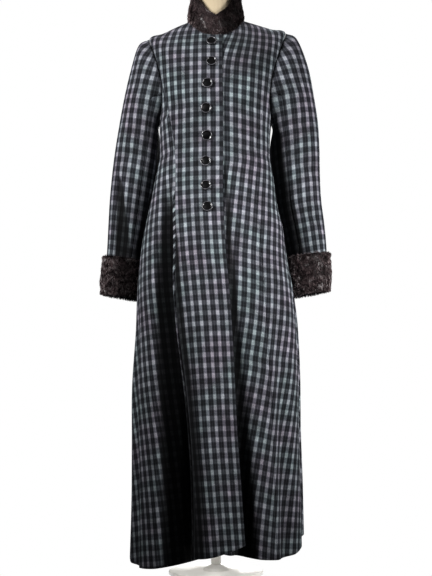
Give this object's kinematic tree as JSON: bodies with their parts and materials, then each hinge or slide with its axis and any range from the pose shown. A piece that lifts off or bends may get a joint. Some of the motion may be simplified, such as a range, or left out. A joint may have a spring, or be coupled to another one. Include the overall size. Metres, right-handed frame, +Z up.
{
  "type": "coat on limbless dress form",
  "caption": "Full-length princess-line wool coat in a grey and black check, with a standing fur collar, turned-back fur cuffs and a buttoned front, on a limbless dress form.",
  "frame": {"origin": "centre of the base plate's underside, on the floor", "axes": "+Z up, +X toward the wearer's left, the coat's front faces -Y"},
  "size_m": [0.6147, 0.437, 1.546],
  "materials": {
    "wool_check": "brushed woven wool, black and grey check",
    "fur": "short dark brown fur",
    "horn": "polished black with a raised rim",
    "form_cover": "smooth cream jersey",
    "stand_metal": "pale satin enamel"
  },
  "bodies": {
    "root": {"front_right": "wool_check", "front_left": "wool_check", "side_front_right": "wool_check", "side_front_left": "wool_check", "side_back_right": "wool_check", "side_back_left": "wool_check", "back_right": "wool_check", "back_left": "wool_check", "upper_sleeve_right": "wool_check", "under_sleeve_right": "wool_check", "upper_sleeve_left": "wool_check", "under_sleeve_left": "wool_check", "collar": "fur", "cuff_right": "fur", "cuff_left": "fur", "button_1": "horn", "button_2": "horn", "button_3": "horn", "button_4": "horn", "button_5": "horn", "button_6": "horn", "button_7": "horn", "button_8": "horn", "form_torso": "form_cover", "form_cap": "form_cover", "stand_pole": "stand_metal", "stand_base": "stand_metal"}
  },
  "joints": []
}
